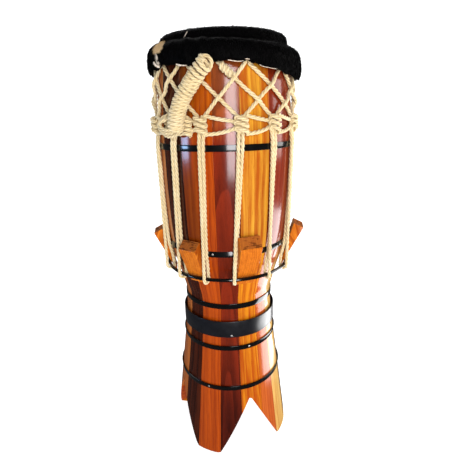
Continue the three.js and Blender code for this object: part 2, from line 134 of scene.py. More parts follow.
def calc(operation, *values):
    return wire(tree_of(values), "ShaderNodeMath", *values, operation=operation)


def vec(operation, *vectors, scale=None):
    """Vector arithmetic. A length and a dot product come out as numbers."""
    return wire(tree_of((*vectors, scale)), "ShaderNodeVectorMath", *vectors, at={3: scale},
                out=int(operation in ("LENGTH", "DOT_PRODUCT")), operation=operation)


def point(x=0.0, y=0.0, z=0.0):
    return wire(tree_of((x, y, z)), "ShaderNodeCombineXYZ", x, y, z)


def axes(vector):
    split = wire(vector.tree, "ShaderNodeSeparateXYZ", vector)
    return [Value(socket) for socket in split.socket.node.outputs]


def ease(value, low, high, to_low=0.0, to_high=1.0):
    """Smooth step of a value from one range to another."""
    return wire(value.tree, "ShaderNodeMapRange", value, low, high, to_low, to_high,
                interpolation_type="SMOOTHSTEP")


def noise(tree, place, scale, detail, rough=None, out=0):
    """Noise between 0 and 1, or with `out` 1 a vector of it."""
    return wire(tree, "ShaderNodeTexNoise", at={0: place, 2: scale, 3: detail, 4: rough}, out=out)


# %% Material helpers
def new_material(name):
    material = bpy.data.materials.new(name)
    material.use_nodes = True
    return material, material.node_tree


def paint(tree, **values):
    """Wires or sets the main shader's sockets; an underscore stands for a space in a socket's name."""
    shader = tree.nodes["Principled BSDF"]
    for name, value in values.items():
        socket = shader.inputs[name.replace("_", " ")]
        if isinstance(value, Value):
            tree.links.new(value.socket, socket)
        else:
            socket.default_value = value


def blend(share, first, second, mode="MIX"):
    """Mixes two colours, each a value or three numbers."""
    first, second = (c if isinstance(c, Value) else (*c, 1.0) for c in (first, second))
    return wire(share.tree, "ShaderNodeMix", out=2, at={0: share, 6: first, 7: second},
                data_type="RGBA", blend_type=mode)


def relief(strength, depth, height, under=None):
    return wire(height.tree, "ShaderNodeBump", at={0: strength, 1: depth, 3: height, "Normal": under})


def stored(tree, name, out=2):
    """A number kept on the mesh under a name, or with `out` 1 a vector."""
    return wire(tree, "ShaderNodeAttribute", out=out, attribute_name=name)


def object_place(tree):
    return wire(tree, "ShaderNodeTexCoord", out=3)


# %% Geometry helpers
CORNER_ANGLE = 0.7


def new_tree(name, **sizes):
    """An empty geometry tree with named inputs, and those inputs' values."""
    tree = bpy.data.node_groups.new(name, "GeometryNodeTree")
    tree.interface.new_socket(name="Geometry", in_out="OUTPUT", socket_type="NodeSocketGeometry")
    tree.interface.new_socket(name="Source", in_out="INPUT", socket_type="NodeSocketGeometry")
    kinds = {float: "Float", int: "Int", tuple: "Vector"}
    for label, value in sizes.items():
        kind = "NodeSocket" + kinds[type(value)]
        tree.interface.new_socket(name=label, in_out="INPUT", socket_type=kind).default_value = value
    tree.interface.new_socket(name="Material", in_out="INPUT", socket_type="NodeSocketMaterial")
    return tree, {socket.name: Value(socket) for socket in tree.nodes.new("NodeGroupInput").outputs}


def keep(geometry, name, value, kind="FLOAT"):
    """Stores a value on a geometry, for its material to read."""
    return wire(geometry.tree, "GeometryNodeStoreNamedAttribute", geometry, None, name, value,
                data_type=kind)


def transform(geometry, **changes):
    return wire(geometry.tree, "GeometryNodeTransform", geometry, at=changes)


def finish_tree(geometry, given, sharp=True):
    """Ends a tree: instances made real, smooth shading, here and there a sharp corner, the material."""
    tree = geometry.tree
    real = wire(tree, "GeometryNodeRealizeInstances", geometry)
    shaded = wire(tree, "GeometryNodeSetShadeSmooth", real, at={2: True})
    if sharp:
        corner = calc("GREATER_THAN", wire(tree, "GeometryNodeInputMeshEdgeAngle"), CORNER_ANGLE)
        shaded = wire(tree, "GeometryNodeSetShadeSmooth", shaded, corner, False, domain="EDGE")
    done = wire(tree, "GeometryNodeSetMaterial", shaded, at={2: given["Material"]})
    tree.links.new(done.socket, tree.nodes.new("NodeGroupOutput").inputs[0])
    return tree


def grow(name, tree, material, source=None, **sizes):
    """Runs a tree once and keeps its result as a plain mesh piece."""
    seed = add_object(name + "_seed", source or bpy.data.meshes.new(name + "_seed"))
    modifier = seed.modifiers.new("shape", "NODES")
    modifier.node_group = tree
    sizes["Material"] = material
    for item in tree.interface.items_tree:
        if item.item_type == "SOCKET" and item.in_out == "INPUT" and item.name in sizes:
            modifier[item.identifier] = sizes[item.name]
    graph = bpy.context.evaluated_depsgraph_get()
    mesh = bpy.data.meshes.new_from_object(seed.evaluated_get(graph))
    mesh.name = name
    left = seed.data
    bpy.data.objects.remove(seed)
    bpy.data.meshes.remove(left)
    return add_object(name, mesh)


def settle(piece, slot, *nodes):
    """Fixes a finished piece to the drum, in place of its plain solids."""
    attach(piece, "root")
    if nodes:
        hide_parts(*nodes)
    return piece


def around(azimuth, radius, height):
    """A point from its azimuth in degrees. Azimuth 0 faces the camera's side and grows to its right."""
    angle = math.radians(azimuth)
    return Vector((radius * math.sin(angle), -radius * math.cos(angle), height))


# %% [markdown]
# ## Wood
# Each board is a slice of a tree: growth rings round a pith that lies near the board, long fibres, and
# fine pores. The grain is worked out in the board's own coordinates, across, through and along, so the
# same rings show as long streaks on the face, as arches where the board leans against the pith, and as
# curved lines on an end. The body of the wood has almost no shine of its own, because a clear coat over
# it gives the varnish. Many boards of the real drum change in colour with height, and these do so too.

# %% Wood finish
BOARD_SPACING = 10.0  # how far apart the boards lie in the grain's coordinates, along the board
SWAY = 0.012  # how far the grain wanders, in metres
CRACK_COLOUR = (0.055, 0.014, 0.004)


def wood(name, light, dark, ring_width, ring_share=0.45, streak_share=0.5, fibre_share=0.35,
         upper=None, change=(0.46, 0.56), side=None, painted_sheen=None, end_grain=(0.10, 0.03, 0.01),
         splits=0.0, coat=0.75):
    """Varnished wood between a light and a dark colour, with rings of a width in metres. The shares say
    how much the rings, streaks and fibres darken it. `upper` is the light colour above the heights in
    `change`, and with `side` only left of that share of the board's width. `painted_sheen` is a painted
    sheen: it lightens and tints the top under the net as the light's reflection on the varnish does
    there, and is not a colour of the wood. `splits` is how strongly dark cracks show on an end that faces
    up."""
    material, tree = new_material(name)
    board = stored(tree, "board", 1)
    sway = noise(tree, vec("MULTIPLY", board, (16.0, 16.0, 5.0)), 1.0, 3.0, out=1)
    bent = vec("ADD", board, vec("SCALE", vec("SUBTRACT", sway, (0.5, 0.5, 0.5)), scale=SWAY))

    # A ring darkens slowly and then ends sharply, as the year's late wood does.
    x, y, z = axes(bent)
    reach = calc("SQRT", x * x + y * y)
    uneven = wire(tree, "ShaderNodeTexNoise", at={1: reach / (ring_width * 2.5), 2: 1.0},
                  noise_dimensions="1D")
    rings = calc("FRACT", -(uneven * 1.6 + reach / ring_width))
    rings = ease(rings, 0.0, 0.95) * ease(rings, 1.0, 0.94)

    def stretched(across, along, octaves, rough=0.55, source=bent):
        """Noise drawn out along the board; both scales are in features per metre."""
        return noise(tree, vec("MULTIPLY", source, (across, across, along)), 1.0, octaves, rough)

    streaks = ease(stretched(95.0, 2.4, 4.0), 0.36, 0.68)
    fibres = stretched(560.0, 14.0, 4.0, 0.65)
    pores = stretched(1500.0, 60.0, 2.0, source=board)
    depth = rings * ring_share + streaks * streak_share + ease(fibres, 0.3, 0.7, -0.5, 0.5) * fibre_share
    colour = blend(depth, light, dark)

    # The changes with height and width follow the streaks, so their edges are ragged.
    height = (streaks - 0.5) * 0.05 + calc("MODULO", z, BOARD_SPACING)
    if upper:
        share = ease(height, *change)
        if side:
            across = (streaks - 0.5) * 0.35 + stored(tree, "side")
            share = share * ease(across, side + 0.16, side - 0.16)
        colour = blend(share, colour, [high / low for high, low in zip(upper, light)], "MULTIPLY")
    # Painted sheen: the top under the net is made paler and pinker, as the light's reflection on the
    # varnish looks there.
    if painted_sheen:
        colour = blend(ease(height, 0.79, 0.85), colour, painted_sheen, "MULTIPLY")
    faces_up = axes(wire(tree, "ShaderNodeTexCoord", out=1))[2]
    colour = blend(ease(faces_up, 0.50, 0.75, 0.0, 0.60), colour, end_grain)
    if splits:
        crack = noise(tree, vec("MULTIPLY", board, (60.0, 210.0, 210.0)), 1.0, 4.0)
        crack = ease(crack, 0.52, 0.62, 0.0, splits) * ease(faces_up, 0.5, 0.75)
        colour = blend(crack, colour, CRACK_COLOUR)
    colour = blend(ease(pores, 0.60, 0.75, 0.0, 0.5), colour, [0.4 * c for c in dark])
    paint(tree, Base_Color=colour, Roughness=ease(fibres, 0.2, 0.8, 0.32, 0.46),
          Normal=relief(0.10, 0.0003, fibres), Specular_IOR_Level=0.02,
          Coat_Weight=coat, Coat_Roughness=0.14, Coat_IOR=1.5)
    return material


# The dark red and orange woods carry a painted sheen at their tops, under the net.
WOODS = {
    "wood_dark_red": wood("dark red wood", (0.075, 0.007, 0.002), (0.032, 0.003, 0.001), 0.0170, 0.7, 0.3,
                          upper=(0.205, 0.018, 0.003), change=(0.10, 0.30), painted_sheen=(1.8, 4.2, 4.4)),
    "wood_golden": wood("golden wood", (0.640, 0.230, 0.006), (0.380, 0.060, 0.001), 0.0130, 0.5, 0.8,
                        upper=(0.650, 0.310, 0.026)),
    "wood_mahogany": wood("mahogany", (0.500, 0.105, 0.014), (0.310, 0.046, 0.005), 0.0090, 0.4, 0.5,
                          upper=(0.210, 0.022, 0.004)),
    "wood_pale": wood("pale wood", (0.640, 0.400, 0.110), (0.420, 0.170, 0.030), 0.0110, 0.35, 0.5,
                      upper=(0.270, 0.042, 0.008)),
    "wood_orange": wood("orange wood", (0.440, 0.066, 0.002), (0.210, 0.021, 0.001), 0.0100, 0.4, 0.6,
                        upper=(0.200, 0.034, 0.001), side=0.34, painted_sheen=(1.05, 1.5, 1.5)),
    "wood_dark_brown": wood("dark brown wood", (0.062, 0.010, 0.002), (0.014, 0.002, 0.001), 0.0100),
    "wood_rosy": wood("rosy wood", (0.500, 0.140, 0.022), (0.240, 0.050, 0.008), 0.0100),
}
print("woods:", ", ".join(WOODS))

# %% [markdown]
# ## Staves
# The shell is turned from sixteen boards that run from head to foot. A stave follows a rule: its face
# lies on the turned outline, its sides are radial, and where a V notch passes, its lower end is cut off
# along the notch's plane. So one Geometry Nodes tree makes them all. It starts from a cube that is cut
# into rows and columns, and moves every point to its place on the board.

# %% Turned outline
STAVE_THICKNESS = 0.017
HEAD_HEIGHT = 1.0
RIM_HEIGHT = 0.9965
RIM_EDGE, BEARING_EDGE, RIM_RADIUS = 0.9877, 0.009, 0.1350
STATIONS = [(0.1565, 0.0), (0.141, 0.124), (0.111, 0.380), (0.1188, 0.455), (0.1395, 0.530),
            (0.1496, 0.620), (0.154, 0.780), (0.147, 0.925), (0.1405, 0.965), (RIM_RADIUS, RIM_EDGE)]


def spline_through(points, per_span):
    """Even Catmull-Rom curve through points of any size, ends doubled."""
    rows = [points[0], *points, points[-1]]
    curve = []
    for a, b, c, d in zip(rows, rows[1:], rows[2:], rows[3:]):
        for k in range(per_span):
            t = k / per_span
            curve.append(tuple(
                q + 0.5 * t * ((r - p) + t * ((2 * p - 5 * q + 4 * r - s) + t * (3 * q - p - 3 * r + s)))
                for p, q, r, s in zip(a, b, c, d)))
    curve.append(tuple(points[-1]))
    return curve


OUTLINE = spline_through(STATIONS, 10)
OUTLINE += [(RIM_RADIUS - BEARING_EDGE * (1 - math.cos(a)), RIM_EDGE + BEARING_EDGE * math.sin(a))
            for a in map(math.radians, (22.5, 45.0, 67.5, 80.0))]


def shell_radius(height):
    """Outer radius of the shell at a height, from the turned outline."""
    for (r0, z0), (r1, z1) in zip(OUTLINE, OUTLINE[1:]):
        if height <= z1:
            return r0 + (r1 - r0) * max(0.0, height - z0) / (z1 - z0)
    return OUTLINE[-1][0]


print("outline of", len(OUTLINE), "points, widest", round(max(r for r, _ in OUTLINE), 4))

# %% Stave tree
CURVE_FULL = 0.2  # a curve node's values end at 1, so the outline's radii are stored as shares of this
BOARD_WIDTH = 0.058


def outline_curve(height):
    """The turned outline as a curve node: a radius from a height."""
    share = wire(height.tree, "ShaderNodeFloatCurve", at={"Value": height})
    mapping = share.socket.node.mapping
    curve = mapping.curves[0]
    while len(curve.points) > 2:
        curve.points.remove(curve.points[1])
    for end, (radius, at) in zip(curve.points, (OUTLINE[0], OUTLINE[-1])):
        end.location = (at, radius / CURVE_FULL)
    for radius, at in OUTLINE[1:-1]:
        curve.points.new(at, radius / CURVE_FULL)
    for knot in curve.points:
        knot.handle_type = "VECTOR"
    mapping.update()
    return share * CURVE_FULL


def stave_tree():
    tree, given = new_tree("Stave", FootLeft=-0.2, FootRight=0.2, TopLeft=-0.2, TopRight=0.2,
                           Thickness=STAVE_THICKNESS, Top=RIM_HEIGHT, Notch=0.0, NotchHalf=0.0845,
                           NotchHeight=0.1575, FootRadius=0.1565, FootSlope=0.125, Joint=0.0003,
                           Pith=(0.0, 0.0, 0.0), Lean=(0.0, 0.0, 0.0), Columns=9, Rows=110)
    cube = wire(tree, "GeometryNodeMeshCube", (1.0, 1.0, 1.0), given["Columns"], 2, given["Rows"])
    x, y, z = axes(wire(tree, "GeometryNodeInputPosition"))
    across, sunk = x + 0.5, (y + 0.5) * given["Thickness"]

    def between(left, right):
        return wire(tree, "ShaderNodeMapRange", across, 0.0, 1.0, left, right)

    at_foot = between(given["FootLeft"], given["FootRight"])
    at_top = between(given["TopLeft"], given["TopRight"])

    # Where the board's sloping foot meets the slanting plane of the notch.
    swing = calc("SINE", calc("ABSOLUTE", at_foot - given["Notch"]))
    over = given["NotchHalf"] - (given["FootRadius"] - sunk) * swing
    under = given["NotchHalf"] / given["NotchHeight"] - given["FootSlope"] * swing
    bottom = calc("MAXIMUM", over / under, 0.0)
    height = (z + 0.5) * (given["Top"] - bottom) + bottom

    # The joints have one direction at the foot and another above the waist.
    radius = outline_curve(height) - sunk
    turned = wire(tree, "ShaderNodeMapRange", ease(height, 0.22, 0.62), 0.0, 1.0, at_foot, at_top)
    direction = turned - given["Joint"] / radius * x
    place = point(radius * calc("SINE", direction), -radius * calc("COSINE", direction), height)
    pith = vec("ADD", given["Pith"], vec("SCALE", given["Lean"], scale=height))
    grain = vec("SUBTRACT", point(x * BOARD_WIDTH, sunk, height), pith)
    marked = keep(keep(cube, "board", grain, "FLOAT_VECTOR"), "side", across)
    return finish_tree(wire(tree, "GeometryNodeSetPosition", marked, None, place), given)


# %% Stave pieces
STAVE_SLOTS = ["dark_red", "golden", "mahogany", "pale", "dark_brown", "orange", "dark_red", "golden",
               "mahogany", "pale", "dark_brown", "golden", "orange", "rosy", "dark_brown", "orange"]
STAVE_STEP = 360 / len(STAVE_SLOTS)
# How far each joint is off an even spacing, in degrees at the foot and above the waist. The first is the
# joint to the right of the front stave.
JOINT_SHIFTS = [(1.2, 1.5), (2.6, 4.0), (-1.6, 4.0), (0.0, 1.5), (0.6, 0.0), (-0.5, 1.0), (0.8, -0.6),
                (0.0, 0.9), (-0.8, -1.0), (0.7, 0.4), (0.0, -0.8), (-0.6, 0.5), (0.3, 0.0), (0.0, -1.5),
                (0.0, -0.8), (1.5, 3.7)]
FIRST_NOTCH, NOTCH_STEP = 22.5, 90
FRONT_PITH, FRONT_LEAN = (-0.0076, -0.0018, 0.0), (0.0, 0.08, 0.0)


def soften_edges(piece, width, segments=2):
    bevel = piece.modifiers.new("worn edges", "BEVEL")
    bevel.width, bevel.segments = width, segments
    bevel.limit_method, bevel.angle_limit = "ANGLE", math.radians(40)
    bevel.harden_normals = True
    return piece


def pith_of(number):
    """Where the tree's heart lay for a board, and its lean; it differs from board to board. In the front
    stave it passes through the board's face, so the rings show as an arch."""
    if number == 0:
        return FRONT_PITH, FRONT_LEAN
    side = -1 if number % 2 else 1
    pith = (side * (0.02 + 0.011 * (number * 5 % 7)), 0.03 + 0.012 * (number * 3 % 5))
    return (*pith, -BOARD_SPACING * number), (0.012 * side, 0.02 - 0.01 * (number % 4), 0.0)


stave_maker = stave_tree()
for i, wood_name in enumerate(STAVE_SLOTS):
    slot = "wood_" + wood_name
    pith, lean = pith_of(i)
    angles = {}
    for number, (end, shift) in enumerate((("Foot", 0), ("Top", 1))):
        angles[end + "Left"] = (i - 0.5) * STAVE_STEP + JOINT_SHIFTS[i - 1][shift]
        angles[end + "Right"] = (i + 0.5) * STAVE_STEP + JOINT_SHIFTS[i][shift]
    angles["Notch"] = FIRST_NOTCH + NOTCH_STEP * round((i * STAVE_STEP - FIRST_NOTCH) / NOTCH_STEP)
    stave = grow(f"board_{i + 1:02d}", stave_maker, WOODS[slot], Pith=pith, Lean=lean,
                 **{name: math.radians(angle) for name, angle in angles.items()})
    settle(soften_edges(stave, 0.0006), slot, f"stave_{i + 1:02d}")
print("staves:", len(STAVE_SLOTS), "boards of", len(stave.data.vertices), "points")

# %% [markdown]
# ## Iron
# The hoops are flat bar bent round the shell, the ring under the ropes is round rod, and each hoop is
# closed with a rivet. A ring is a profile swept round a circle, so one tree serves them all: a rounded
# rectangle that leans with the slope of the wood. Painted iron is nearly black with a hard gloss.


# %% Iron finishes
def iron(name, colour, rough, coat, mottled, gloss, blur=0.12, metallic=0.0):
    """Mottled iron under a coat of paint, whose shine is blurred by `blur`."""
    material, tree = new_material(name)
    spot = object_place(tree)
    cloud, grit = noise(tree, spot, 60.0, 4.0), noise(tree, spot, 900.0, 2.0)
    lighter = [min(1.0, c * (1 + mottled)) for c in colour]
    paint(tree, Base_Color=blend(ease(cloud, 0.35, 0.7), colour, lighter),
          Roughness=ease(cloud, 0.3, 0.7, rough - 0.06, rough + 0.10), Normal=relief(0.10, 0.0003, grit),
          Specular_IOR_Level=gloss, Coat_Weight=coat, Coat_Roughness=blur, Metallic=metallic)
    return material


BLACK_IRON = iron("black iron", (0.0016, 0.0016, 0.0016), 0.30, 1.0, 0.6, 0.02)
BAND_IRON = iron("grey band iron", (0.0035, 0.0038, 0.0055), 0.38, 0.90, 0.5, 0.15, blur=0.30)
RIVET_METAL = iron("bare rivet", (0.46, 0.45, 0.42), 0.38, 0.0, 0.3, 0.5, metallic=0.75)


# %% Ring and rivet trees
def ring_tree():
    tree, given = new_tree("Iron ring", Radius=0.15, Height=0.5, Tall=0.013, Thick=0.002, Lean=0.0,
                           Round=0.0004)
    circle = wire(tree, "GeometryNodeCurvePrimitiveCircle", 160, at={4: given["Radius"]})
    bar = wire(tree, "GeometryNodeCurvePrimitiveQuadrilateral", given["Thick"], given["Tall"])
    rounded = wire(tree, "GeometryNodeFilletCurve", bar, 4, given["Round"], True, mode="POLY")
    leaning = transform(rounded, Rotation=point(z=given["Lean"]))
    swept = wire(tree, "GeometryNodeCurveToMesh", circle, leaning)
    return finish_tree(transform(swept, Translation=point(z=given["Height"])), given)


def rivet_tree():
    tree, given = new_tree("Rivet", Azimuth=0.0, Height=0.5, Radius=0.15, Size=0.0026, Rise=0.0012)
    ball = wire(tree, "GeometryNodeMeshUVSphere", 20, 12, 1.0)
    head = transform(ball, Translation=point(0.0, -given["Radius"], given["Height"]),
                     Scale=point(given["Size"], given["Rise"], given["Size"]))
    return finish_tree(transform(head, Rotation=point(z=given["Azimuth"])), given)


# %% Hoops, band, rod ring and rivets
HOOP_TALL, HOOP_THICK, FIT = 0.013, 0.002, 0.0003
HOOPS = {"hoop_belly": (0.782, 150), "hoop_shoulder": (0.553, -11.7), "hoop_waist": (0.406, -160),
         "hoop_calf": (0.296, 24.4), "hoop_ankle": (0.188, -23)}
BAND_BOTTOM, BAND_TALL, BAND_THICK, BAND_RIVET = 0.3255, 0.043, 0.0025, (3.7, 0.331)
ROD_RADIUS, ROD_HEIGHT, ROD_RING_RADIUS = 0.004, 0.494, 0.14997
ring_maker, rivet_maker = ring_tree(), rivet_tree()


def hoop_face(height):
    """Radius of the outer face of a hoop at mid height."""
    low, high = shell_radius(height - HOOP_TALL / 2), shell_radius(height + HOOP_TALL / 2)
    return max((low + high) / 2, shell_radius(height)) + FIT + HOOP_THICK


def add_rivet(node, azimuth, height, face):
    settle(grow(node + "_rivet_head", rivet_maker, RIVET_METAL, Azimuth=math.radians(azimuth),
                Height=height, Radius=face), "rivet", node + "_rivet")


for node, (height, azimuth) in HOOPS.items():
    face = hoop_face(height)
    slope = (shell_radius(height + HOOP_TALL / 2) - shell_radius(height - HOOP_TALL / 2)) / HOOP_TALL
    hoop = grow(node + "_bar", ring_maker, BLACK_IRON, Radius=face - HOOP_THICK / 2, Height=height,
                Tall=HOOP_TALL, Thick=HOOP_THICK, Lean=-math.atan(slope), Round=0.0005)
    settle(hoop, "black_iron", node)
    add_rivet(node, azimuth, height, face)

band_inside = max(shell_radius(BAND_BOTTOM + BAND_TALL * k / 10) for k in range(11)) + 2 * FIT
band = grow("waist_band_bar", ring_maker, BAND_IRON, Radius=band_inside + BAND_THICK / 2,
            Height=BAND_BOTTOM + BAND_TALL / 2, Tall=BAND_TALL, Thick=BAND_THICK, Round=0.0009)
settle(band, "band_iron", "waist_band")
add_rivet("waist_band", *BAND_RIVET, band_inside + BAND_THICK)
rod = grow("rod_ring_bar", ring_maker, BLACK_IRON, Radius=ROD_RING_RADIUS, Height=ROD_HEIGHT,
           Tall=2 * ROD_RADIUS, Thick=2 * ROD_RADIUS, Round=0.999 * ROD_RADIUS)
settle(rod, "black_iron", "rod_ring")
print("rings:", len(HOOPS) + 2, "of", len(hoop.data.vertices), "points")

# %% [markdown]
# ## Wedges
# The wedges are plain sawn blocks with a slanting, hammered top where the end grain shows. Each is a copy
# of its solid with the triangles merged, its top widened and raised to what the photograph shows, and its
# edges eased. It has the same board coordinates as the staves have, here along the block's lean.

# %% Wedge pieces
# Azimuth of each wedge, how much wider its top is than the solid's, and how far its top edge is raised at
# the shell, raised at the front, and moved outwards.
WEDGES = [(-82, 1.15, 0.002, 0.000, 0.004), (-29.5, 1.15, 0.009, 0.001, 0.0),
          (18.6, 1.28, 0.017, 0.004, 0.0), (84, 1.15, 0.005, 0.004, 0.010), (133, 1.1, 0.006, 0.0, 0.0),
          (182, 1.1, 0.004, 0.0, 0.0), (229.5, 1.1, 0.007, 0.0, 0.0)]
WEDGE_LEAN = math.radians(19)
WEDGE_WOOD = wood("wedge wood", (0.640, 0.185, 0.012), (0.330, 0.060, 0.004), 0.0034, 0.7, 0.3,
                  end_grain=(0.280, 0.090, 0.026), splits=0.85, coat=0.30)


def merged_copy(node, name):
    """A copy of a solid's mesh with its loose triangles joined and its flat faces made whole."""
    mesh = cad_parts[node].data.copy()
    form = bmesh.new()
    form.from_mesh(mesh)
    bmesh.ops.remove_doubles(form, verts=form.verts, dist=1e-5)
    bmesh.ops.dissolve_limit(form, angle_limit=math.radians(1), verts=form.verts, edges=form.edges)
    form.to_mesh(mesh)
    form.free()
    return add_object(name, mesh)


for i, (azimuth, wide, back_lift, front_lift, out) in enumerate(WEDGES):
    wedge = merged_copy(f"wedge_{i + 1:02d}", f"block_{i + 1:02d}")
    heights = [v.co.z for v in wedge.data.vertices]
    bottom, ceiling = min(heights), max(heights)
    for vertex in wedge.data.vertices:
        share = (vertex.co.z - bottom) / (ceiling - bottom)
        reach = math.hypot(vertex.co.x, vertex.co.y) + out * share
        turned = math.degrees(math.atan2(vertex.co.x, -vertex.co.y)) - azimuth
        turned = (turned + 180) % 360 - 180
        lift = (back_lift if share > 0.96 else front_lift) if share > 0.5 else 0.0
        vertex.co = around(azimuth + turned * (1 + (wide - 1) * (0.4 + 0.6 * share)), reach + 0.2 * lift,
                           vertex.co.z + lift)
    middle = sum((v.co for v in wedge.data.vertices), Vector()) / len(wedge.data.vertices)
    turn = Matrix.Rotation(WEDGE_LEAN, 3, "X") @ Matrix.Rotation(-math.radians(azimuth), 3, "Z")
    pith = Vector((0.05 + 0.02 * (i % 3), 0.02, BOARD_SPACING * i))
    grain = wedge.data.attributes.new("board", "FLOAT_VECTOR", "POINT")
    for vertex, item in zip(wedge.data.vertices, grain.data):
        item.vector = turn @ (vertex.co - middle) + pith
    wedge.data.materials.clear()
    wedge.data.materials.append(WEDGE_WOOD)
    settle(soften_edges(wedge, 0.0016, 3), "wedge_wood", f"wedge_{i + 1:02d}")
print("wedges:", len(WEDGES))

# %% [markdown]
# ## Rope
# The rope is twisted from three strands. A strand at a time would take three curves for each rope, so
# the tree sweeps one profile with three lobes instead, and turns it as it goes: that is the curve's tilt.
# The distance along the rope and the height of the lobe are kept as attributes for the fibres' colour and
# for a painted shade in the grooves between the strands.


# %% Rope finish
def rope_finish():
    material, tree = new_material("cream rope")
    along, lobe = stored(tree, "along"), stored(tree, "lobe")
    spot = object_place(tree)
    fibre = noise(tree, point(along * 130.0, lobe * 9.0), 1.6, 4.0, 0.6)
    cloud, fine = noise(tree, spot, 28.0, 3.0), noise(tree, spot, 1400.0, 2.0)
    colour = blend(ease(fibre, 0.36, 0.64), (0.58, 0.43, 0.185), (0.77, 0.64, 0.375))
    colour = blend(ease(cloud, 0.42, 0.75, 0.0, 0.5), colour, (0.81, 0.70, 0.46))
    # Painted shade: the rope is darkened in the grooves between its strands, where they shade each other.
    colour = blend(ease(lobe, 0.42, 0.0, 0.0, 0.75), colour, (0.32, 0.175, 0.050))
    paint(tree, Base_Color=colour, Normal=relief(0.35, 0.0003, fine, relief(0.5, 0.0006, fibre)),
          Roughness=0.78, Sheen_Weight=0.25)
    return material


ROPE = rope_finish()

# %% Rope tree
STRANDS = 3
SWELLING = 0.28  # unevenness of the rope, as a share of its radius


def rope_tree():
    tree, given = new_tree("Twisted rope", Radius=0.004, Pitch=0.032, Step=0.0026, Sides=18, Groove=0.40)
    line = wire(tree, "GeometryNodeMeshToCurve", given["Source"])
    even = wire(tree, "GeometryNodeResampleCurve", line, at={"Length": given["Step"]}, mode="LENGTH")
    length = wire(tree, "GeometryNodeSplineParameter", out=1)
    tilt = length / given["Pitch"] * (-2 * math.pi)
    tilted = wire(tree, "GeometryNodeSetCurveTilt", even, at={"Tilt": tilt})

    circle = wire(tree, "GeometryNodeCurvePrimitiveCircle", given["Sides"], at={4: given["Radius"]})
    place = wire(tree, "GeometryNodeInputPosition")
    px, py, _ = axes(place)
    lobe = calc("ABSOLUTE", calc("COSINE", calc("ARCTAN2", py, px) * (STRANDS / 2)))
    grooved = vec("SCALE", place, scale=lobe * given["Groove"] + (1.0 - given["Groove"]))
    profile = keep(wire(tree, "GeometryNodeSetPosition", circle, None, grooved), "lobe", lobe)
    swept = wire(tree, "GeometryNodeCurveToMesh", keep(tilted, "along", length), profile,
                 at={"Fill Caps": True})
    swell = (noise(tree, None, 190.0, 2.0) - 0.5) * (given["Radius"] * SWELLING)
    swollen = vec("SCALE", wire(tree, "GeometryNodeInputNormal"), scale=swell)
    rough = wire(tree, "GeometryNodeSetPosition", swept, at={"Offset": swollen})
    return finish_tree(rough, given, sharp=False)


def lines_mesh(name, lines):
    """Open polylines as one wire mesh, for a tree to sweep."""
    mesh = bpy.data.meshes.new(name)
    points, edges = [], []
    for line in lines:
        edges += [(len(points) + k, len(points) + k + 1) for k in range(len(line) - 1)]
        points += [tuple(p) for p in line]
    mesh.from_pydata(points, edges, [])
    return mesh


def smoothed(points, per_span):
    return [Vector(p) for p in spline_through([tuple(p) for p in points], per_span)]


def twist(name, lines, material=ROPE, **sizes):
    """Sweeps rope along lines."""
    return grow(name, rope_maker, material, source=lines_mesh(name + "_lines", lines), **sizes)


rope_maker = rope_tree()

# %% [markdown]
# ## Double ropes
# Each double rope comes down from its knot, one strand in front of the rod ring, turns under it and goes
# back up behind it. The routes are the solid model's own, drawn as smooth curves.

# %% Rope routes
ROPE_RADIUS = 0.0043  # with room for the rope's unevenness
LOOP_SPREAD, HOOK_SPREAD = 1.6, 0.55
KNOT_HEIGHT, LOOP_TOP = 0.8275, 0.8315
KNOT_AZIMUTHS = [-66.5, -39.5, -15.5, 13, 40, 68.5, 93.5, 118.5, 143.5, 168.5, 193.5, 218.5, 243.5, 268.5]
HOOK_AZIMUTHS = [-69.5, -43, -17.6, 6.8, 38, 65, 97, 118, 146, 168.5, 196, 216, 243, 266]
PEAK_AZIMUTHS = [-55, -30, -4.5, 18.5, 51, 81, 106, 131, 156, 181, 206, 231, 256, 281]
BELLY_HOOP, SHOULDER_HOOP = HOOPS["hoop_belly"][0], HOOPS["hoop_shoulder"][0]


def dressed_radius(low, high):
    """Largest radius of the shell and its hoops between two heights."""
    faces = [hoop_face(h) + FIT for h, _ in HOOPS.values()
             if low < h + HOOP_TALL / 2 and high > h - HOOP_TALL / 2]
    return max([shell_radius(low + (high - low) * k / 6) for k in range(7)] + faces)


def resting(height):
    """Radius at which the middle of a rope lies when the rope rests on the drum."""
    return dressed_radius(height - 0.008, height + 0.008) + FIT + ROPE_RADIUS


def loop_route(i):
    knot, hook = KNOT_AZIMUTHS[i], HOOK_AZIMUTHS[i]

    def hung(side, z):
        share = (z - ROD_HEIGHT) / (LOOP_TOP - ROD_HEIGHT)
        return hook + side * HOOK_SPREAD + share * (knot + side * LOOP_SPREAD - hook - side * HOOK_SPREAD)

    points = [around(hung(-1, z), resting(z), z) for z in (LOOP_TOP, 0.81, BELLY_HOOP)]
    reach = ROD_RADIUS + FIT + ROPE_RADIUS
    front = ROD_RING_RADIUS + reach
    for z in (0.70, 0.62, 0.54):
        share = (z - ROD_HEIGHT) / (BELLY_HOOP - ROD_HEIGHT)
        straight = front + share * (resting(BELLY_HOOP) - front)
        points.append(around(hung(-1, z), max(straight, resting(z)), z))
    for k in range(7):
        angle = math.pi * k / 6
        points.append(around(hook - HOOK_SPREAD * math.cos(angle),
                             ROD_RING_RADIUS + reach * math.cos(angle),
                             ROD_HEIGHT - reach * math.sin(angle)))
    for z in (0.520, SHOULDER_HOOP, 0.61, 0.67, 0.73, BELLY_HOOP, 0.81, LOOP_TOP):
        points.append(around(hung(1, z), resting(z), z))
    return smoothed(points, 6)


